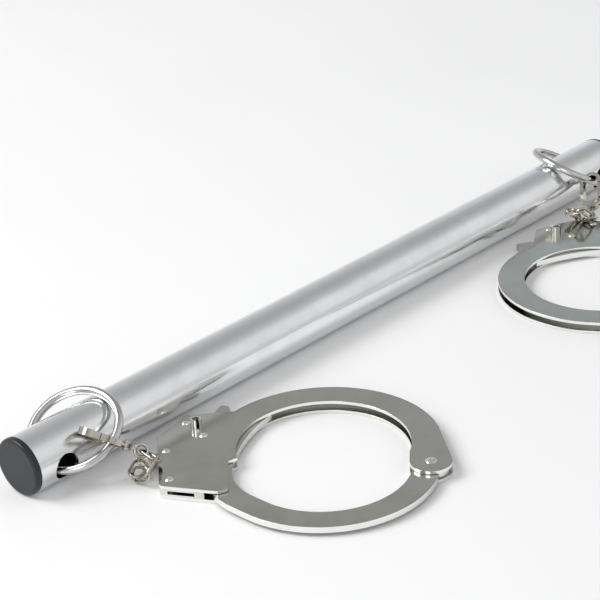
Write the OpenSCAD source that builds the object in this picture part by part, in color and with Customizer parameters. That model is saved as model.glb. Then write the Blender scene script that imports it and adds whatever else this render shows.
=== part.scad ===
// A pair of double-plate handcuffs held apart by a straight tube.
// A wire ring threads each end of the tube. A snap clip hooks on each ring,
// and a short chain runs from the clip's swivel to a rivet inside the cuff.
// X runs along the tube, Z is up, and everything lies on the plane Z = 0.

/* [Tube] */
// Length of the tube without its caps
tube_len = 320; // [260:5:420]
// Outside diameter of the tube
tube_d = 20; // [19:0.5:22]
// Wall thickness of the tube
tube_wall = 1.2; // [0.8:0.1:1.5]
// Distance of each cross-hole from its end of the tube
hole_inset = 10.5; // [10:0.5:11]
// Diameter of each cross-hole, much wider than the wire
hole_d = 9.4; // [9.2:0.1:9.8]
// How far the cross-holes lean from level, lower at the cuffs' side
hole_lean = 12; // [10:1:14]
// Thickness of the cap's flange, outside the tube
cap_t = 2.3; // [1.5:0.1:3]
// Depth of the cap's plug, inside the tube
plug_len = 6; // [4:0.5:7]

/* [Wire ring] */
// Diameter of the ring's wire
ring_wire = 3; // [2.8:0.1:3.2]
// Radius of the round ring, at the wire's centre
ring_radius = 15.3; // [15:0.1:15.6]

/* [Cuff plates] */
// Inside radius of the bow
bow_ri = 28.8; // [28.6:0.1:29]
// Outside radius of the bow
bow_ro = 38.9; // [38.5:0.1:39.2]
// Thickness of each plate
plate_t = 1.1; // [1:0.1:1.2]
// Gap between the two plates
plate_gap = 2.4; // [2.3:0.1:2.6]
// Distance from the bow's centre to the arm's pivot
pivot_r = 37; // [36.5:0.1:37.5]
// Direction of the pivot from the bow's centre
pivot_angle = -69.3; // [-70:0.1:-68]
// Radius of the ear around the pivot
ear_r = 6.9; // [6.6:0.1:7.2]

/* [Arm] */
// Thickness of the swinging arm
arm_t = 2.1; // [2:0.1:2.1]
// Width of the arm across its flat
arm_w = 8.8; // [8.6:0.1:9]
// Inside radius of the arm's round part
arm_ri = 28; // [27.5:0.1:28.5]
// Radius of the toothed edge, about the pivot
teeth_r = 72.8; // [72.5:0.1:73]
// Angle from one tooth to the next, about the pivot
tooth_step = 2; // [1.8:0.1:2.2]
// Number of teeth
tooth_count = 15; // [14:1:15]
// Depth of each tooth
tooth_depth = 1; // [0.9:0.05:1]

/* [Fasteners and chain] */
// Shank radius of the body rivets
rivet_r = 1.2; // [1.1:0.05:1.3]
// Shank radius of the pivot rivet
pivot_pin_r = 1.6; // [1.5:0.05:1.7]
// Height of each rivet's domed head
dome_h = 0.7; // [0.5:0.1:0.9]
// Diameter of the chain's wire
link_wire = 1; // [0.95:0.05:1.05]
// Outside length of a chain link
link_len = 9; // [8.9:0.1:9.2]
// Outside width of a chain link
link_w = 5.6; // [5.4:0.1:5.8]
// Height of the key barrel above the upper plate
barrel_h = 3; // [2.5:0.5:4.5]

/* [Position] */
// Distance from the tube's middle to the left bow's centre
left_cuff_x = 84.4; // [84:0.1:84.8]
// Distance from the tube's middle to the right bow's centre
right_cuff_x = 73.7; // [73.4:0.1:74]
// Distance from the tube's axis to each bow's centre
cuff_y = 61.6; // [61.4:0.1:61.8]
// How far the right cuff is turned from being the left one's mirror image
right_turn = 10; // [9:0.5:11]

/* [Hidden] */

$fn = 72;
eps = 0.01;
// Play of a pin that turns in its hole, and of one that is fixed in it
run_play = 0.05;
fixed_play = 0.02;

tube_r = tube_d / 2;
axis_z = tube_r;
half_len = tube_len / 2;
hole_x = half_len - hole_inset;

// Things that differ between the two sides are lists: left, then right.
// Both sides are drawn at the tube's negative end, and the right one mirrored.
// Each round ring crosses the tube on a chord. These are the offset of the
// chord's middle from the cross-holes' middle, and the chord's slope.
ring_r = ring_wire / 2;
ring_gap = 0.3;
chord_shift = [[-0.3, -1.2, -1.1], [0.6, -0.4, 0.5]];
chord_slope = [10, 14];
chord_half = tube_r - 0.5;
chord_h = sqrt(pow(ring_radius, 2) - pow(chord_half, 2));
chord_mid = [for (v = chord_shift) [-hole_x, 0, axis_z] + v];
chord_dir = [for (a = chord_slope) [0, cos(a), sin(a)]];
// The far side of the ring rests on the tube, which sets how far it leans
ring_lean = [for (k = [0, 1]) asin((tube_r + ring_r + ring_gap
    - (chord_mid[k][2] - axis_z) * cos(chord_slope[k])
    + chord_mid[k][1] * sin(chord_slope[k])) / (chord_h + ring_radius))];
ring_dir = [for (k = [0, 1]) [cos(ring_lean[k]),
    -sin(chord_slope[k]) * sin(ring_lean[k]), cos(chord_slope[k]) * sin(ring_lean[k])]];
ring_c = [for (k = [0, 1]) chord_mid[k] + chord_h * ring_dir[k]];

// Heights of the cuff's layers
upper_z = plate_t + plate_gap;
top_z = upper_z + plate_t;
arm_z = plate_t + (plate_gap - arm_t) / 2;

// Plan of a left cuff about its bow's centre
pivot = pivot_r * [cos(pivot_angle), sin(pivot_angle)];
// The body is laid out in its own axes: s along the body, n outwards
body_turn = 45;
wall_t = 0.9;
inner_edge_n = 31.2;
body_corners = [[-24, inner_edge_n], [-25.2, 34.6], [-19.4, 53.3], [10.8, 54.8],
    [25.2, 45.7], [25.9, 35.2], [25.9, 20], [0, 20], [-7, inner_edge_n]];
body_rounds = [1.5, 1.5, 2, 3, 3, 0.5, 0, 0, 0];
link_rivet = [2.4, 51.6];
pawl_rivet = [-15.8, 50.2];
lever_rivet = [11, 39.5];
corner_rivet = [20.2, 45.7];
barrel_at = [17.4, 41.9];
barrel_ro = 2;
barrel_ri = 1.1;
// How far the release lever turns when it is pushed
lever_push = 12.2;

// Plan of the arm: a round part, then a short straight, a tighter bend and
// a stretch of teeth that is centred on the pivot
arm_c = [-8, -8.2];
arm_ro = arm_ri + arm_w;
straight = 6;
teeth_ri = teeth_r - arm_w;
bend_y = arm_c[1] + straight;
edge_x = arm_c[0] - arm_ri;
// The bend touches the straight and the toothed stretch: one linear equation
bend_dx = edge_x - pivot[0];
bend_dy = bend_y - pivot[1];
bend_r = (pow(teeth_ri, 2) - pow(bend_dx, 2) - pow(bend_dy, 2))
    / (2 * (teeth_ri + bend_dx));
bend_c = [edge_x + bend_r, bend_y];
bend_to = atan2(bend_c[1] - pivot[1], bend_c[0] - pivot[0]);
tip_angle = 96.7;
ear_pin_dir = atan2(pivot[1] - arm_c[1], pivot[0] - arm_c[0]);
first_tooth = tip_angle + 2.2;

// The pawl meshes with these notches when it drops by this angle from its rest
pawl_drop = 3.9;
// Room beside each of its teeth, as an angle about the pivot
pawl_play = 0.3;
pawl_teeth = 2;
mesh_notch = 12;
pawl_t = 2;

// Places of the cuffs, from the tube's middle and the floor
cuff_at = [[-left_cuff_x, -cuff_y, 0], [-right_cuff_x, -cuff_y, 0]];
cuff_turn = [0, right_turn];

// Middle of the whole object's depth, so that the origin lies under it
y_back = max([for (k = [0, 1]) ring_c[k][1]
    + ring_radius * norm([ring_dir[k][1], chord_dir[k][1]])]) + ring_r;
y_front = min([for (k = [0, 1]) -cuff_y - arm_ro
    + arm_c[0] * sin(cuff_turn[k]) + arm_c[1] * cos(cuff_turn[k])]);
y_mid = (y_back + y_front) / 2;

// ---------- helpers ----------

function unit(v) = v / norm(v);
function turned(v, a) = [v[0] * cos(a) - v[1] * sin(a), v[0] * sin(a) + v[1] * cos(a), v[2]];
// World point of a point in the body's axes, on side k
function body_point(k, p, z) = cuff_at[k] + turned([p[0], p[1], z], body_turn + cuff_turn[k]);

// Corner b of a polygon, rounded with radius r between neighbours a and c
function corner_arc(a, b, c, r, n = 8) =
    r <= 0 ? [b] :
    let (u = unit(a - b), v = unit(c - b),
         half = acos(u * v) / 2,
         m = unit(u + v),
         o = b + m * r / sin(half),
         p = b + u * r / tan(half),
         q = b + v * r / tan(half),
         a0 = atan2(p[1] - o[1], p[0] - o[0]),
         a1 = atan2(q[1] - o[1], q[0] - o[0]),
         d = a1 - a0,
         turn = d > 180 ? d - 360 : d < -180 ? d + 360 : d)
    [for (i = [0:n]) o + r * [cos(a0 + turn * i / n), sin(a0 + turn * i / n)]];

function rounded(points, radii) = [for (i = [0:len(points) - 1])
    for (p = corner_arc(points[(i + len(points) - 1) % len(points)], points[i],
        points[(i + 1) % len(points)], radii[i])) p];

function flipped(points) = [for (i = [len(points) - 1:-1:0]) points[i]];

// Corner i of a clockwise polygon, moved inwards by d from both its edges
function inset_corner(points, i, d) =
    let (u = unit(points[i] - points[i - 1]), v = unit(points[i + 1] - points[i]),
         m = [u[1], -u[0]], n = [v[1], -v[0]])
    points[i] + d * (m + n) / (1 + m * n);

// Puts children with their X and Y axes along two given directions
module oriented(o, x_dir, y_dir) {
    x = unit(x_dir);
    z = unit(cross(x, y_dir));
    y = cross(z, x);
    multmatrix([[x[0], y[0], z[0], o[0]], [x[1], y[1], z[1], o[1]],
        [x[2], y[2], z[2], o[2]], [0, 0, 0, 1]]) children();
}

// A pie slice wide enough to cut any circle of radius r
module wedge(r, a0, a1) {
    steps = ceil((a1 - a0) / 30);
    polygon(concat([[0, 0]], [for (i = [0:steps])
        2 * r * [cos(a0 + (a1 - a0) * i / steps), sin(a0 + (a1 - a0) * i / steps)]]));
}

module arc_band(ri, ro, a0, a1) {
    intersection() {
        difference() {
            circle(r = ro, $fn = 180);
            circle(r = ri, $fn = 180);
        }
        wedge(ro, a0, a1);
    }
}

// A closed loop of round wire: two straights and two half circles, along X
module wire_loop(length, width, wire) {
    r = wire / 2;
    bend = width / 2 - r;
    run = length / 2 - width / 2;
    for (side = [-1, 1]) {
        translate([0, side * bend, 0]) rotate([0, 90, 0])
            cylinder(h = 2 * run, r = r, center = true, $fn = 24);
        translate([side * run, 0, 0]) rotate([0, 0, side * 90 - 180])
            rotate_extrude(angle = 180, $fn = 48) translate([bend, 0]) circle(r = r, $fn = 24);
    }
}

// A solid rivet: shank from the floor, domed head above height z
module rivet(r, head_r, z) {
    cylinder(h = z + eps, r = r);
    sphere_r = (pow(head_r, 2) + pow(dome_h, 2)) / (2 * dome_h);
    translate([0, 0, z]) intersection() {
        translate([0, 0, dome_h - sphere_r]) sphere(r = sphere_r);
        cylinder(h = dome_h, r = head_r);
    }
}

module on_cuff() {
    translate(cuff_at[$side]) rotate([0, 0, cuff_turn[$side]]) children();
}
module on_body() { on_cuff() rotate([0, 0, body_turn]) children(); }
module at_2d(p) { translate([p[0], p[1]]) children(); }

// ---------- bar ----------

module bar_tube() {
    color("silver") difference() {
        translate([0, 0, axis_z]) rotate([0, 90, 0])
            cylinder(h = tube_len, r = tube_r, center = true);
        translate([0, 0, axis_z]) rotate([0, 90, 0])
            cylinder(h = tube_len + 2, r = tube_r - tube_wall, center = true);
        for (end = [-1, 1]) translate([end * hole_x, 0, axis_z]) rotate([90 + hole_lean, 0, 0])
            cylinder(h = tube_d + 2, d = hole_d, center = true);
    }
}

// The plug is hollow, and its flange has a rounded rim
module end_cap() {
    rim = 1.2;
    plug_r = tube_r - tube_wall - fixed_play;
    plug_wall = 1.4;
    rim_arc = [for (a = [0:15:90]) [tube_r - rim + rim * cos(a), cap_t - rim + rim * sin(a)]];
    color([0.09, 0.09, 0.1]) translate([half_len, 0, axis_z]) rotate([0, 90, 0]) {
        rotate_extrude() polygon(concat([[0, 0], [tube_r, 0]], rim_arc, [[0, cap_t]]));
        translate([0, 0, -plug_len]) difference() {
            cylinder(h = plug_len + eps, r = plug_r);
            translate([0, 0, -1]) cylinder(h = plug_len + 1, r = plug_r - plug_wall);
        }
    }
}

// ---------- left side: ring, clip and chain ----------

module ring() {
    color("gainsboro") oriented(ring_c[$side], ring_dir[$side], chord_dir[$side])
        rotate_extrude($fn = 120) translate([ring_radius, 0]) circle(r = ring_r, $fn = 48);
}

// The clip hooks on the ring's front and points down to the chain. Its own
// axes: X from the hook's round end to the swivel, Y towards the gate.
wire_angle = [-75, -70];
// Where the ring's wire lies in the clip's loop
wire_in_loop = [[7.2, 0], [-1.2, 0]];
clip_dir = unit([0.69, -0.53, -0.49]);
clip_face = [0.62, 0.1, 0.72];
clip_y = unit(cross(clip_dir, clip_face));
clip_t = 2.4;
hook_ri = 3.2;
hook_ro = 4.7;
hook_tip = 1.5;
loop_end = 9.5;
gate_pin = [11.2, 2.2];
gate_pin_r = 0.5;
neck_end = 13.2;
stem_r = 0.8;
eye_ri = 1.5;
eye_ro = 2.7;
eye_x = 17.2;

function wire_point(k) = ring_c[k] + ring_radius
    * (cos(wire_angle[k]) * ring_dir[k] + sin(wire_angle[k]) * chord_dir[k]);
function clip_point(k, x) = wire_point(k) + (x - wire_in_loop[k][0]) * clip_dir
    - wire_in_loop[k][1] * clip_y;

module on_clip() { oriented(clip_point($side, 0), clip_dir, clip_y) children(); }

// Long loop, neck and a socket for the swivel's stem
module clip_body() {
    slot_t = 1.3;
    color([0.72, 0.69, 0.62]) on_clip() difference() {
        union() {
            linear_extrude(clip_t, center = true) {
                arc_band(hook_ri, hook_ro, 90, 270);
                translate([-eps, hook_ri]) square([hook_tip, hook_ro - hook_ri]);
                translate([-eps, -hook_ro]) square([loop_end, hook_ro - hook_ri]);
                polygon([[loop_end - 2, -hook_ro], [neck_end - 1.2, -2.6], [neck_end, -2],
                    [neck_end, 2], [11.9, 3.3], [10.4, 3.3], [loop_end, 1.8],
                    [loop_end, -2], [loop_end - 1.2, -hook_ri]]);
            }
            translate([neck_end - 2, 0, 0]) rotate([0, 90, 0]) cylinder(h = 2, r = 1.9);
        }
        // hollow in which the gate turns
        translate([0, 0, -slot_t / 2]) linear_extrude(slot_t)
            polygon([[8, 0.9], [10, 0.3], [12.3, 0.8], [12.6, 5], [8, 5]]);
        translate([gate_pin[0], gate_pin[1], 0])
            cylinder(h = 2 * clip_t, r = gate_pin_r + fixed_play, center = true, $fn = 24);
        translate([neck_end - 2, 0, 0]) rotate([0, 90, 0])
            cylinder(h = 3, r = stem_r + run_play, $fn = 32);
        // room for the stem's riveted end
        translate([neck_end - 3.3, 0, 0]) rotate([0, 90, 0])
            cylinder(h = 1.5, r = 1.15, $fn = 32);
    }
}

// Straight gate with its thumb tab; it swings into the loop on its pin
module clip_gate() {
    tongue_t = 1;
    gap = 0.3;
    color([0.72, 0.69, 0.62]) on_clip() difference() {
        union() {
            linear_extrude(clip_t - 0.2, center = true) polygon([[hook_tip + gap, hook_ri],
                [9, hook_ri], [9, hook_ro], [6.6, hook_ro], [6.1, 6.3], [4.4, 6.4], [4.2, hook_ro],
                [hook_tip + gap, hook_ro]]);
            linear_extrude(tongue_t, center = true) {
                polygon([[8.5, hook_ri], [gate_pin[0], gate_pin[1] - 1.05],
                    [gate_pin[0] + 0.8, gate_pin[1] + 0.8], [gate_pin[0], 3.6], [8.5, hook_ro]]);
                at_2d(gate_pin) circle(r = 1.1);
            }
        }
        translate([gate_pin[0], gate_pin[1], 0])
            cylinder(h = 4, r = gate_pin_r + run_play, center = true, $fn = 24);
    }
}

module clip_gate_pin() {
    color([0.72, 0.69, 0.62]) on_clip() translate([gate_pin[0], gate_pin[1], 0])
        cylinder(h = clip_t + 0.3, r = gate_pin_r, center = true, $fn = 24);
}

// A short leaf in the hollow, which keeps the gate shut
module clip_gate_spring() {
    color("dimgray") on_clip() translate([0, 0, -0.4]) linear_extrude(0.8)
        polygon([[9.2, 0.75], [10.2, 0.35], [10.2, 0.55], [9.2, 0.95]]);
}

// The stem turns in the neck, and the eye takes the chain
module clip_swivel() {
    color([0.72, 0.69, 0.62]) on_clip() {
        translate([neck_end - 2.9, 0, 0]) rotate([0, 90, 0])
            cylinder(h = 0.8, r = 1.05, $fn = 32);
        translate([neck_end - 2.2, 0, 0]) rotate([0, 90, 0])
            cylinder(h = eye_x - eye_ro - neck_end + 2.6, r = stem_r, $fn = 32);
        translate([eye_x, 0, 0]) rotate([90, 0, 0]) rotate_extrude()
            translate([(eye_ri + eye_ro) / 2, 0]) circle(d = eye_ro - eye_ri, $fn = 24);
    }
}

// The chain runs from the swivel's eye to the rivet in the cuff's mouth. These
// are the heading and rise of its links: the first three leave the eye, the
// last two arrive at the rivet, and the fourth joins them.
// Each link hangs slack in the next one by this much
link_slack = 1.1;
link_pitch = link_len - 2 * link_wire - link_slack;
way_on = [[[-92, -7], [-171, -27], [95, -20]],
    [[-14, 22], [18, 41], [96, -16]]];
way_in = [[[8, -15], [-35, 0]],
    [[-106, -38], [-57, 0]]];

function heading(v) = [cos(v[0]) * cos(v[1]), sin(v[0]) * cos(v[1]), sin(v[1])];
chain = [for (k = [0, 1]) let (
    p0 = clip_point(k, eye_x + eye_ri - 0.45),
    p1 = p0 + link_pitch * heading(way_on[k][0]),
    p2 = p1 + link_pitch * heading(way_on[k][1]),
    p3 = p2 + link_pitch * heading(way_on[k][2]),
    p6 = body_point(k, link_rivet, plate_t + plate_gap / 2) + rivet_r * heading(way_in[k][1]),
    p5 = p6 - link_pitch * heading(way_in[k][1]),
    p4 = p5 - link_pitch * heading(way_in[k][0]))
    [p0, p1, p2, p3, p4, p5, p6]];
// Normals of the planes in which the links lie
link_faces = [[[-0.5, -1.9, -0.9], [-0.3, 0.8, 0.5], [-1.3, 0.4, 0.3],
    [1.2, 1.3, -2.5], [-1.1, 0.9, -0.4], [0, 0, 1]],
    [[-0.6, 0.4, 0.8], [0.3, -0.8, -0.4], [-0.1, -0.5, -1.3],
    [-0.5, 0.4, -1.3], [0.8, -0.2, 0], [0, 0, 1]]];
module link(i) {
    from = chain[$side][i];
    to = chain[$side][i + 1];
    color([0.66, 0.64, 0.56]) oriented((from + to) / 2, to - from,
        cross(link_faces[$side][i], to - from)) wire_loop(link_len, link_w, link_wire);
}

// ---------- left side: cuff ----------

module plate_outline() {
    difference() {
        union() {
            arc_band(bow_ri, bow_ro, -38, 130);
            rotate(body_turn) polygon(flipped(rounded(body_corners, body_rounds)));
            at_2d(pivot) circle(r = ear_r);
            // straight-sided neck between the bow and the ear
            polygon([(bow_ri + 0.05) * [cos(-38), sin(-38)],
                pivot + ear_r * [cos(130), sin(130)], pivot,
                pivot + ear_r * [cos(-43), sin(-43)], bow_ro * [cos(-35), sin(-35)],
                bow_ri * [cos(-30), sin(-30)]]);
        }
        circle(r = bow_ri, $fn = 180);
    }
}

module rivet_holes() {
    rotate(body_turn) for (p = [link_rivet, pawl_rivet, lever_rivet, corner_rivet])
        at_2d(p) circle(r = rivet_r + fixed_play);
    at_2d(pivot) circle(r = pivot_pin_r + fixed_play);
}

module lower_plate() {
    color([0.68, 0.68, 0.64]) on_cuff() linear_extrude(plate_t) difference() {
        plate_outline();
        rivet_holes();
    }
}

module upper_plate() {
    color([0.68, 0.68, 0.64]) on_cuff() translate([0, 0, upper_z]) linear_extrude(plate_t)
        difference() {
            plate_outline();
            rivet_holes();
            rotate(body_turn) at_2d(barrel_at) circle(r = barrel_ro + fixed_play);
        }
}

// A folded strip that closes the body's edge. It has a window in its long
// face and leaves gaps for the arm, the chain and the lever.
module side_wall() {
    window_l = 9;
    window_h = 1.2;
    side_a = body_corners[2];
    side_dir = unit(body_corners[1] - body_corners[2]);
    color([0.68, 0.68, 0.64]) on_body() difference() {
        translate([0, 0, plate_t]) linear_extrude(plate_gap) difference() {
            polygon(rounded(body_corners, body_rounds));
            // inner face of the strip
            polygon(rounded(concat([[-26, 10]],
                [for (i = [1:5]) inset_corner(body_corners, i, wall_t)], [[30, 10]]),
                [0, 0.6, 1.1, 2.1, 2.1, 0, 0]));
            // sweep of the arm
            rotate(-body_turn) at_2d(pivot) circle(r = teeth_r + 0.5, $fn = 180);
            // mouth for the chain's last link
            translate([link_rivet[0] - 7, 45]) square([14, 12]);
            // slot for the lever's tab, as far as it is pushed
            translate([20, 20]) square([12, 20.5]);
        }
        oriented([side_a[0], side_a[1], plate_t + plate_gap / 2], [side_dir[0], side_dir[1], 0],
            [0, 0, 1]) translate([window_l / 2 + 2.6, 0, 0])
            cube([window_l, window_h, 6], center = true);
    }
}

module body_rivets() {
    color([0.72, 0.72, 0.69]) on_body() for (p = [link_rivet, pawl_rivet, lever_rivet,
        corner_rivet]) at_2d(p) rivet(rivet_r, rivet_r + 0.3, top_z);
}

module pivot_rivet() {
    color([0.72, 0.72, 0.69]) on_cuff() at_2d(pivot)
        rivet(pivot_pin_r, pivot_pin_r + 0.4, top_z);
}

// A tube round the keyhole, split down one side for the key's bit
module key_barrel() {
    slot_w = 1;
    color([0.75, 0.75, 0.72]) on_body() at_2d(barrel_at) translate([0, 0, plate_t])
        difference() {
            cylinder(h = top_z + barrel_h - plate_t, r = barrel_ro);
            translate([0, 0, -1]) cylinder(h = top_z + barrel_h + 2, r = barrel_ri, $fn = 32);
            rotate([0, 0, 200]) translate([0, -slot_w / 2, -1]) cube([4, slot_w, 20]);
        }
}

// Saw teeth about the pivot: notch k has its upright face at angle a(k)
function notch_angle(k) = first_tooth + k * tooth_step;
function notch(k, r_tip, depth, play) =
    let (a = notch_angle(k), b = tooth_step * 0.8)
    [for (p = [[r_tip, a + b - play], [r_tip - depth, a + play + 0.1],
        [r_tip, a + play]]) p[0] * [cos(p[1]), sin(p[1])]];

module arm_outline() {
    // the last two bands run past the place where they touch
    bend_past = 2;
    teeth_past = 1;
    at_2d(arm_c) arc_band(arm_ri, arm_ro, 180, 360 + ear_pin_dir);
    translate([arm_c[0] - arm_ro, arm_c[1]]) square([arm_w, straight]);
    at_2d(bend_c) arc_band(bend_r, bend_r + arm_w, bend_to - bend_past, 180);
    at_2d(pivot) arc_band(teeth_ri, teeth_r, tip_angle, bend_to + teeth_past);
    at_2d(pivot) circle(r = arm_w / 2 + 1.6);
}

module arm() {
    color([0.70, 0.70, 0.66]) on_cuff() translate([0, 0, arm_z]) linear_extrude(arm_t)
        difference() {
            arm_outline();
            at_2d(pivot) circle(r = pivot_pin_r + run_play);
            at_2d(pivot) for (k = [0:tooth_count - 1])
                polygon(notch(k, teeth_r + 0.05, tooth_depth, 0));
            // bevel on the tip, so that it slides in past the pawl
            at_2d(pivot) rotate(tip_angle) polygon([[teeth_r + 1, -1], [teeth_r + 1, 3],
                [teeth_r - 3, -1]]);
        }
}

// Ratchet catch, drawn in mesh and then lifted off the teeth to where it rests
module pawl() {
    color([0.5, 0.5, 0.48]) on_body() translate([0, 0, plate_t + (plate_gap - pawl_t) / 2])
        at_2d(pawl_rivet) rotate([0, 0, pawl_drop]) linear_extrude(pawl_t) difference() {
            union() {
                circle(r = 1.95);
                at_2d(-pawl_rivet) rotate(-body_turn) at_2d(pivot) {
                    for (k = [0:pawl_teeth - 1])
                        polygon(notch(mesh_notch + k, teeth_r + 0.25, tooth_depth, pawl_play));
                    arc_band(teeth_r + 0.15, teeth_r + 3, notch_angle(mesh_notch) - 0.6,
                        notch_angle(mesh_notch + pawl_teeth) + 0.2);
                }
                // beam from the rivet to the toothed nose, with a finger over the lever's nose
                at_2d(-pawl_rivet) polygon([[-17.1, 48.7], [-5.6, 39.8], [-1, 38.4], [4.6, 38.6],
                    [4.6, 40.2], [0, 41.3], [-14.6, 51.6]]);
            }
            circle(r = rivet_r + run_play);
        }
}

// A bowed leaf between the wall and the pawl
module pawl_spring() {
    color("dimgray") on_body() translate([0, 0, plate_t + 0.4]) linear_extrude(1.6)
        polygon([[-13.2, 52.6], [-12.6, 52], [-8.7, 48.95], [-6, 52.2], [-5.5, 52.95],
            [-5.9, 52.95], [-6.4, 52.5], [-8.7, 49.5], [-12.2, 52.3], [-12.6, 52.6]]);
}

// Quick-release lever: its nose lifts the pawl's finger, its tab is outside
module release_lever() {
    color([0.55, 0.55, 0.53]) on_body() translate([0, 0, plate_t + (plate_gap - pawl_t) / 2])
        linear_extrude(pawl_t) difference() {
            union() {
                at_2d(lever_rivet) circle(r = 2.3);
                polygon([[11, 41.7], [5, 39.55], [3.6, 39.4], [3.6, 38.5], [5.2, 38.2],
                    [10.2, 37.3], [20, 34.4], [24.6, 31]]);
                polygon([[24.6, 31], [26.6, 36], [20.6, 37.2], [12, 41.6], [10.2, 37.3]]);
                polygon(rounded([[24, 31.4], [27, 30], [32, 31], [33.4, 33.6], [28, 36], [25, 36.3]],
                    [0.5, 1, 1.5, 1.2, 1.5, 0.5]));
            }
            at_2d(lever_rivet) {
                circle(r = rivet_r + run_play);
                // hollow that clears the key barrel when the lever is pushed
                rotate(-lever_push) at_2d(barrel_at - lever_rivet)
                    circle(r = barrel_ro + 0.3);
            }
        }
}

// ---------- assembly ----------

// Draws one node of the left side, or of the right side as its mirror image
module placed() { translate([0, -y_mid, 0]) children(); }

module side_piece(name) {
    if (name == "ring") ring();
    if (name == "clip_body") clip_body();
    if (name == "clip_gate") clip_gate();
    if (name == "clip_gate_pin") clip_gate_pin();
    if (name == "clip_gate_spring") clip_gate_spring();
    if (name == "clip_swivel") clip_swivel();
    if (name == "link_1") link(0);
    if (name == "link_2") link(1);
    if (name == "link_3") link(2);
    if (name == "link_4") link(3);
    if (name == "link_5") link(4);
    if (name == "link_6") link(5);
    if (name == "lower_plate") lower_plate();
    if (name == "upper_plate") upper_plate();
    if (name == "side_wall") side_wall();
    if (name == "body_rivets") body_rivets();
    if (name == "pivot_rivet") pivot_rivet();
    if (name == "key_barrel") key_barrel();
    if (name == "pawl") pawl();
    if (name == "pawl_spring") pawl_spring();
    if (name == "release_lever") release_lever();
    if (name == "arm") arm();
}

module left(name) { placed() side_piece(name, $side = 0); }
module right(name) { placed() mirror([1, 0, 0]) side_piece(name, $side = 1); }

placed() bar_tube();
placed() mirror([1, 0, 0]) end_cap();  // end_cap_left
placed() end_cap();  // end_cap_right
left("ring");  // ring_left
left("clip_body");  // clip_body_left
left("clip_gate");  // clip_gate_left
left("clip_gate_pin");  // clip_gate_pin_left
left("clip_gate_spring");  // clip_gate_spring_left
left("clip_swivel");  // clip_swivel_left
left("link_1");  // link_1_left
left("link_2");  // link_2_left
left("link_3");  // link_3_left
left("link_4");  // link_4_left
left("link_5");  // link_5_left
left("link_6");  // link_6_left
left("lower_plate");  // lower_plate_left
left("upper_plate");  // upper_plate_left
left("side_wall");  // side_wall_left
left("body_rivets");  // body_rivets_left
left("pivot_rivet");  // pivot_rivet_left
left("key_barrel");  // key_barrel_left
left("pawl");  // pawl_left
left("pawl_spring");  // pawl_spring_left
left("release_lever");  // release_lever_left
left("arm");  // arm_left
right("ring");  // ring_right
right("clip_body");  // clip_body_right
right("clip_gate");  // clip_gate_right
right("clip_gate_pin");  // clip_gate_pin_right
right("clip_gate_spring");  // clip_gate_spring_right
right("clip_swivel");  // clip_swivel_right
right("link_1");  // link_1_right
right("link_2");  // link_2_right
right("link_3");  // link_3_right
right("link_4");  // link_4_right
right("link_5");  // link_5_right
right("link_6");  // link_6_right
right("lower_plate");  // lower_plate_right
right("upper_plate");  // upper_plate_right
right("side_wall");  // side_wall_right
right("body_rivets");  // body_rivets_right
right("pivot_rivet");  // pivot_rivet_right
right("key_barrel");  // key_barrel_right
right("pawl");  // pawl_right
right("pawl_spring");  // pawl_spring_right
right("release_lever");  // release_lever_right
right("arm");  // arm_right
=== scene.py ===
import math

import bpy
from mathutils import Matrix, Vector


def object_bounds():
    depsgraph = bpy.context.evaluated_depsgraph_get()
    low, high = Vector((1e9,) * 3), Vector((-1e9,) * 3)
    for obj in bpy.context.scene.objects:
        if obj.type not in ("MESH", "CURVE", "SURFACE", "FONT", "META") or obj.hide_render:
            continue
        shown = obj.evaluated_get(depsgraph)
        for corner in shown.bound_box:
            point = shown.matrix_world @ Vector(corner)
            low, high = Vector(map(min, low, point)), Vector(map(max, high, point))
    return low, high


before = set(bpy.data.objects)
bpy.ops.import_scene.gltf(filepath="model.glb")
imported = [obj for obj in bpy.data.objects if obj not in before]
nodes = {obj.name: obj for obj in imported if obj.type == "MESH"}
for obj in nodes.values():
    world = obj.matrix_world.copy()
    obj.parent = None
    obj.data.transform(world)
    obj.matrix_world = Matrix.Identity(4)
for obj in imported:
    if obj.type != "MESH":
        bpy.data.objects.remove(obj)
cad_box = [list(map(float, corner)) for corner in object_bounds()]


# ---------- camera ----------

# The photo's viewpoint, from a fit to the tube and the cuffs: metres and millimetres
CAMERA_PLACE = (-0.4609, -0.3762, 0.3071)
CAMERA_VIEW = (0.645, 0.630, -0.432)
CAMERA_RIGHT = (0.678, -0.733, -0.056)
CAMERA_LENS = 110.3
SENSOR_WIDTH = 36
CLIP_END = 20


def add_camera():
    data = bpy.data.cameras.new("camera")
    data.lens = CAMERA_LENS
    data.sensor_width = SENSOR_WIDTH
    data.clip_end = CLIP_END
    cam = bpy.data.objects.new("camera", data)
    bpy.context.scene.collection.objects.link(cam)
    view = Vector(CAMERA_VIEW).normalized()
    right = Vector(CAMERA_RIGHT)
    right = (right - right.dot(view) * view).normalized()
    pose = Matrix((right, right.cross(view), -view)).transposed().to_4x4()
    pose.translation = Vector(CAMERA_PLACE)
    cam.matrix_world = pose
    bpy.context.scene.camera = cam


add_camera()


# ---------- small helpers for node materials ----------

MM_PER_M = 1000


def fill_ramp(ramp, stops):
    """Sets a colour ramp's stops, each a (position, grey level or colour) pair."""
    while len(ramp.elements) < len(stops):
        ramp.elements.new(0.5)
    for e, (pos, value) in zip(ramp.elements, stops):
        e.position = pos
        color = value if isinstance(value, (tuple, list)) else (value, value, value)
        e.color = (*color, 1)


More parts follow.
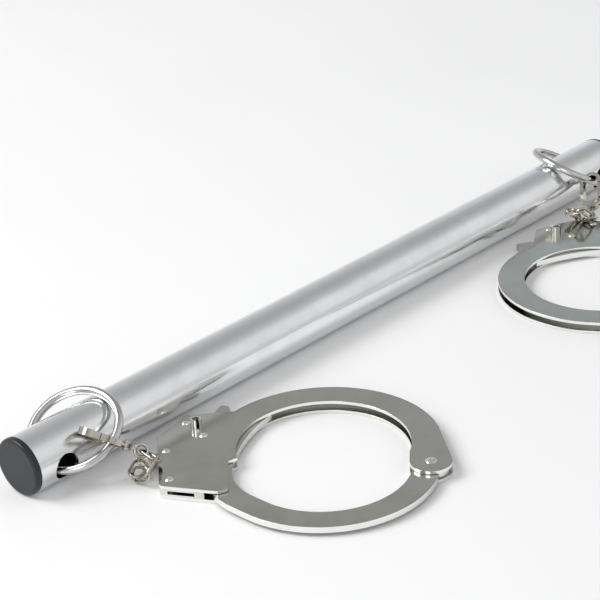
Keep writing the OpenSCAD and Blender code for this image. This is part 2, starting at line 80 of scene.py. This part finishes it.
class Graph:
    """A node material that is built up one node at a time."""

    def __init__(self, name):
        self.mat = bpy.data.materials.new(name)
        self.mat.use_nodes = True
        self.tree = self.mat.node_tree
        self.bsdf = self.tree.nodes["Principled BSDF"]

    def node(self, kind, values=None, **props):
        n = self.tree.nodes.new(kind)
        for key, value in props.items():
            setattr(n, key, value)
        for key, value in (values or {}).items():
            n.inputs[key].default_value = value
        return n

    def link(self, a, b):
        self.tree.links.new(a, b)

    def place(self, scale=(1, 1, 1)):
        """Object coordinates in millimetres, multiplied by scale."""
        coords = self.node("ShaderNodeTexCoord")
        mapping = self.node("ShaderNodeMapping")
        mapping.inputs["Scale"].default_value = [MM_PER_M * s for s in scale]
        self.link(coords.outputs["Object"], mapping.inputs["Vector"])
        return mapping.outputs["Vector"]

    def noise(self, scale, stretch=(1, 1, 1), detail=3.0, rough=0.55):
        """Noise with about `scale` cells per millimetre."""
        n = self.node("ShaderNodeTexNoise",
                      {"Scale": scale, "Detail": detail, "Roughness": rough})
        self.link(self.place(stretch), n.inputs["Vector"])
        return n.outputs["Fac"]

    def ramp(self, fac, stops):
        n = self.node("ShaderNodeValToRGB")
        fill_ramp(n.color_ramp, stops)
        self.link(fac, n.inputs["Fac"])
        return n.outputs["Color"]

    def spread(self, fac, low, high):
        """Spreads the middle of a noise's range from low to high."""
        n = self.node("ShaderNodeMapRange", {"To Min": low, "To Max": high,
                                             "From Min": 0.3, "From Max": 0.7})
        self.link(fac, n.inputs["Value"])
        return n.outputs["Result"]

    def math(self, operation, a, b):
        n = self.node("ShaderNodeMath", operation=operation)
        for socket, value in zip(n.inputs, (a, b)):
            if isinstance(value, (int, float)):
                socket.default_value = value
            else:
                self.link(value, socket)
        return n.outputs["Value"]

    def mix(self, fac, a, b):
        n = self.node("ShaderNodeMix", data_type="RGBA")
        self.link(fac, n.inputs["Factor"])
        for socket, value in (("A", a), ("B", b)):
            target = [i for i in n.inputs if i.name == socket and i.type == "RGBA"][0]
            if isinstance(value, tuple):
                target.default_value = (*value, 1)
            else:
                self.link(value, target)
        return [o for o in n.outputs if o.type == "RGBA"][0]

    def bump(self, layers, bevel=0.0):
        """Adds height layers, each a (height, distance in mm) pair, to the surface."""
        normal = None
        if bevel:
            edge = self.node("ShaderNodeBevel", {"Radius": bevel / MM_PER_M}, samples=4)
            normal = edge.outputs["Normal"]
        for height, distance in layers:
            n = self.node("ShaderNodeBump",
                          {"Strength": 1.0, "Distance": distance / MM_PER_M})
            self.link(height, n.inputs["Height"])
            if normal is not None:
                self.link(normal, n.inputs["Normal"])
            normal = n.outputs["Normal"]
        self.link(normal, self.bsdf.inputs["Normal"])

    def put(self, **sockets):
        """Sets the shader's sockets to numbers, colours or links."""
        for name, value in sockets.items():
            socket = self.bsdf.inputs[name.replace("_", " ")]
            if isinstance(value, (int, float, tuple)):
                socket.default_value = (*value, 1) if isinstance(value, tuple) else value
            else:
                self.link(value, socket)


HAIRLINE_DEPTH = -0.0012
SPOT_ROUGHNESS = 0.05
# How far the ambient occlusion for the painted crevice shade reaches, in metres
CREVICE_SHADE_REACH = 0.003


def metal(name, base, shade, rough, grain=0.0, wave=0.0, bevel=0.0, scratch=0.0,
          stretch=(1, 1, 1), side_highlight=None, crevice_shade=None):
    """Metal with smears, fine grain, hairline scratches and a slight unevenness.

    Upright faces can take a lighter colour, a painted highlight that stands in for their
    reflection of the white floor;
    narrow places can take a darker colour, painted shade where the ambient occlusion finds
    other surfaces close by."""
    g = Graph(name)
    smear = g.noise(0.09, detail=4)
    spots = g.noise(1.7, detail=5)
    color = g.mix(g.ramp(smear, [(0.35, 0.0), (0.7, 1.0)]), base, shade)
    hair = g.noise(5.0, (0.04, 1.0, 1.0), detail=2)
    hair_across = g.noise(5.0, (1.0, 0.05, 1.0), detail=2)
    lines = g.math("MAXIMUM", g.ramp(hair, [(0.66, 0.0), (0.74, 1.0)]),
                   g.ramp(hair_across, [(0.68, 0.0), (0.76, 1.0)]))
    level = g.math("ADD", g.spread(smear, rough[0], rough[1]),
                   g.math("MULTIPLY", lines, scratch))
    worn = g.ramp(spots, [(0.55, 0.0), (0.8, 1.0)])
    level = g.math("ADD", level, g.math("MULTIPLY", worn, SPOT_ROUGHNESS))
    # Painted highlight: upright faces get a lighter colour than the tops, as if they reflected
    # the white floor.
    if side_highlight:
        facing = g.node("ShaderNodeSeparateXYZ")
        coords = g.node("ShaderNodeTexCoord")
        g.link(coords.outputs["Normal"], facing.inputs["Vector"])
        upright_highlight = g.ramp(g.math("ABSOLUTE", facing.outputs["Z"], 0), [(0.5, 1.0), (0.95, 0.0)])
        color = g.mix(upright_highlight, color, side_highlight)
    # Painted shade: narrow places that the ambient occlusion finds are darkened towards a dark
    # colour.
    if crevice_shade:
        open_air = g.node("ShaderNodeAmbientOcclusion", {"Distance": CREVICE_SHADE_REACH}, samples=8)
        color = g.mix(g.ramp(open_air.outputs["AO"], [(0.35, 0.0), (0.85, 1.0)]), crevice_shade, color)
    g.put(Base_Color=color, Metallic=1.0, Roughness=level)
    layers = []
    if wave:
        layers.append((g.noise(0.16, detail=1), wave))
    if grain:
        layers.append((g.noise(3.0, stretch, detail=3), grain))
    layers.append((lines, HAIRLINE_DEPTH))
    g.bump(layers, bevel)
    return g.mat


# ---------- materials ----------

tube_metal = metal("tube_metal", (0.86, 0.87, 0.88), (0.80, 0.81, 0.83), (0.13, 0.22),
                   grain=0.0012, wave=0.006, scratch=0.07, stretch=(0.03, 1, 1))
ring_metal = metal("ring_metal", (0.60, 0.60, 0.59), (0.50, 0.50, 0.49), (0.14, 0.20),
                   grain=0.0006, wave=0.003, scratch=0.05)
# The clip carries painted shade in its narrow places.
clip_metal = metal("clip_metal", (0.60, 0.58, 0.53), (0.42, 0.40, 0.35), (0.08, 0.20),
                   grain=0.004, wave=0.02, bevel=0.18, scratch=0.08,
                   crevice_shade=(0.10, 0.09, 0.07))
# The chain links carry painted shade in their narrow places.
link_metal = metal("link_metal", (0.60, 0.57, 0.50), (0.40, 0.37, 0.30), (0.08, 0.20),
                   grain=0.003, wave=0.02, scratch=0.08, crevice_shade=(0.09, 0.08, 0.06))
# The plates' upright faces carry a painted highlight, lighter than their tops.
plate_metal = metal("plate_metal", (0.48, 0.48, 0.44), (0.43, 0.43, 0.39), (0.09, 0.17),
                    grain=0.0010, wave=0.012, bevel=0.22, scratch=0.07, side_highlight=(0.86, 0.86, 0.84))
wall_metal = metal("wall_metal", (0.80, 0.80, 0.77), (0.62, 0.62, 0.58), (0.16, 0.30),
                   grain=0.003, wave=0.02, bevel=0.12, scratch=0.09)
# The arm's upright faces carry a painted highlight, lighter than its top.
arm_metal = metal("arm_metal", (0.49, 0.49, 0.45), (0.42, 0.42, 0.38), (0.12, 0.22),
                  grain=0.0015, wave=0.012, bevel=0.2, scratch=0.09, side_highlight=(0.86, 0.86, 0.84))
rivet_metal = metal("rivet_metal", (0.82, 0.82, 0.79), (0.66, 0.66, 0.62), (0.14, 0.26),
                    grain=0.003, scratch=0.08)
inner_metal = metal("inner_metal", (0.52, 0.52, 0.50), (0.38, 0.38, 0.36), (0.28, 0.42),
                    grain=0.006, bevel=0.12, scratch=0.08)


def moulded_plastic():
    g = Graph("cap_plastic")
    fine = g.noise(4.0, detail=4)
    cloud = g.noise(0.25, detail=3)
    dust = g.ramp(g.noise(2.2, detail=6, rough=0.7), [(0.68, 0.0), (0.78, 1.0)])
    base = g.mix(g.ramp(cloud, [(0.3, 0.0), (0.7, 1.0)]), (0.010, 0.012, 0.014),
                 (0.017, 0.020, 0.023))
    g.put(Base_Color=g.mix(dust, base, (0.075, 0.075, 0.078)),
          Roughness=g.spread(cloud, 0.30, 0.42), Specular_IOR_Level=0.4)
    g.bump([(fine, 0.012), (cloud, 0.02)])
    return g.mat


cap_plastic = moulded_plastic()

MATERIALS = {
    "bar_tube": tube_metal, "end_cap": cap_plastic, "ring": ring_metal,
    "clip_body": clip_metal, "clip_gate": clip_metal, "clip_gate_pin": rivet_metal,
    "clip_gate_spring": inner_metal, "clip_swivel": clip_metal,
    "lower_plate": plate_metal, "upper_plate": plate_metal, "side_wall": wall_metal,
    "body_rivets": rivet_metal, "pivot_rivet": rivet_metal, "key_barrel": rivet_metal,
    "pawl": inner_metal, "pawl_spring": inner_metal, "release_lever": inner_metal,
    "arm": arm_metal,
}

for name, obj in nodes.items():
    kind = name.rsplit("_", 1)[0] if name.endswith(("_left", "_right")) else name
    mat = link_metal if kind.startswith("link_") else MATERIALS[kind]
    obj.data.materials.clear()
    obj.data.materials.append(mat)


# ---------- floor, light and background ----------

def floor_material():
    g = Graph("floor_card")
    cloud = g.noise(0.004, detail=3)
    g.put(Base_Color=g.mix(g.ramp(cloud, [(0.3, 0.0), (0.7, 1.0)]), (0.93, 0.93, 0.93),
                           (0.90, 0.90, 0.905)),
          Roughness=0.55)
    g.bump([(g.noise(1.2, detail=5), 0.004)])
    return g.mat


# Half the floor's width, and how far it lies under the object, in metres
FLOOR_HALF = 6.0
FLOOR_DROP = 0.0001

floor_mesh = bpy.data.meshes.new("floor")
corners = [(x * FLOOR_HALF, y * FLOOR_HALF, 0) for x, y in ((-1, -1), (1, -1), (1, 1), (-1, 1))]
floor_mesh.from_pydata(corners, [], [(0, 1, 2, 3)])
floor = bpy.data.objects.new("floor", floor_mesh)
floor.location = (0, 0, cad_box[0][2] - FLOOR_DROP)
floor_mesh.materials.append(floor_material())
bpy.context.scene.collection.objects.link(floor)


def area_light(name, place, target, width, height, power, color=(1, 1, 1)):
    data = bpy.data.lights.new(name, "AREA")
    data.shape = "RECTANGLE"
    data.size = width
    data.size_y = height
    data.energy = power
    data.color = color
    obj = bpy.data.objects.new(name, data)
    obj.location = place
    away = Vector(target) - Vector(place)
    obj.rotation_euler = away.to_track_quat("-Z", "Y").to_euler()
    bpy.context.scene.collection.objects.link(obj)


area_light("key_softbox", (-0.9, 0.8, 1.2), (0, 0, 0), 1.0, 1.0, 19)
area_light("rim_softbox", (-1.3, -0.5, 0.55), (0, 0, 0.02), 0.5, 0.5, 2.5, (0.98, 0.99, 1.0))

# A light tent. Its levels follow the shading measured along lines across the
# tube in the photo. Positions are shares of the arch over the tube, from the
# cuffs' side (0) over the top to the far side (1).
TENT = [(0.0, 0.60), (0.13, 0.80), (0.26, 0.82), (0.33, 0.74), (0.41, 0.55), (0.50, 0.46),
        (0.58, 0.42), (0.69, 0.46), (0.79, 0.54), (0.97, 0.74)]
# Low on the far side and towards COOL_SIDE, the light is multiplied by COOL
COOL = (1.10, 1.24, 1.36)
COOL_SIDE = (0.68, -0.73, 0)
COOL_BAND = [(0.01, 0.0), (0.13, 1.0), (0.26, 1.0), (0.40, 0.0)]
COOL_ARCH = (0.75, 0.79)


def light_tent():
    world = bpy.data.worlds.new("studio")
    bpy.context.scene.world = world
    world.use_nodes = True
    tree = world.node_tree

    def node(kind, **props):
        n = tree.nodes.new(kind)
        for key, value in props.items():
            setattr(n, key, value)
        return n

    def ramp(fac, stops):
        n = node("ShaderNodeValToRGB")
        fill_ramp(n.color_ramp, stops)
        tree.links.new(fac, n.inputs["Fac"])
        return n

    coords = node("ShaderNodeTexCoord").outputs["Generated"]
    split = node("ShaderNodeSeparateXYZ")
    tree.links.new(coords, split.inputs["Vector"])

    # share of the arch: the angle about the tube's direction, over half a turn
    front = node("ShaderNodeMath", operation="MULTIPLY")
    front.inputs[1].default_value = -1
    tree.links.new(split.outputs["Y"], front.inputs[0])
    arch = node("ShaderNodeMath", operation="ARCTAN2")
    tree.links.new(split.outputs["Z"], arch.inputs[0])
    tree.links.new(front.outputs["Value"], arch.inputs[1])
    share = node("ShaderNodeMath", operation="DIVIDE")
    share.inputs[1].default_value = math.pi
    tree.links.new(arch.outputs["Value"], share.inputs[0])
    tent = ramp(share.outputs["Value"], TENT)
    tent.color_ramp.interpolation = "EASE"

    # how much of the cool tint there is
    side = node("ShaderNodeVectorMath", operation="DOT_PRODUCT")
    side.inputs[1].default_value = COOL_SIDE
    tree.links.new(coords, side.inputs[0])
    cool = ramp(side.outputs["Value"], COOL_BAND)
    low = node("ShaderNodeMapRange")
    low.inputs["From Min"].default_value = COOL_ARCH[0]
    low.inputs["From Max"].default_value = COOL_ARCH[1]
    tree.links.new(share.outputs["Value"], low.inputs["Value"])
    both = node("ShaderNodeMath", operation="MULTIPLY")
    tree.links.new(cool.outputs["Color"], both.inputs[0])
    tree.links.new(low.outputs["Result"], both.inputs[1])

    tint = node("ShaderNodeMix", data_type="RGBA", blend_type="MULTIPLY")
    colors = [socket for socket in tint.inputs if socket.type == "RGBA"]
    tree.links.new(tent.outputs["Color"], colors[0])
    colors[1].default_value = (*COOL, 1)
    tree.links.new(both.outputs["Value"], tint.inputs["Factor"])
    mixed = [socket for socket in tint.outputs if socket.type == "RGBA"][0]
    tree.links.new(mixed, tree.nodes["Background"].inputs["Color"])


light_tent()
bpy.context.scene.view_settings.view_transform = "Standard"
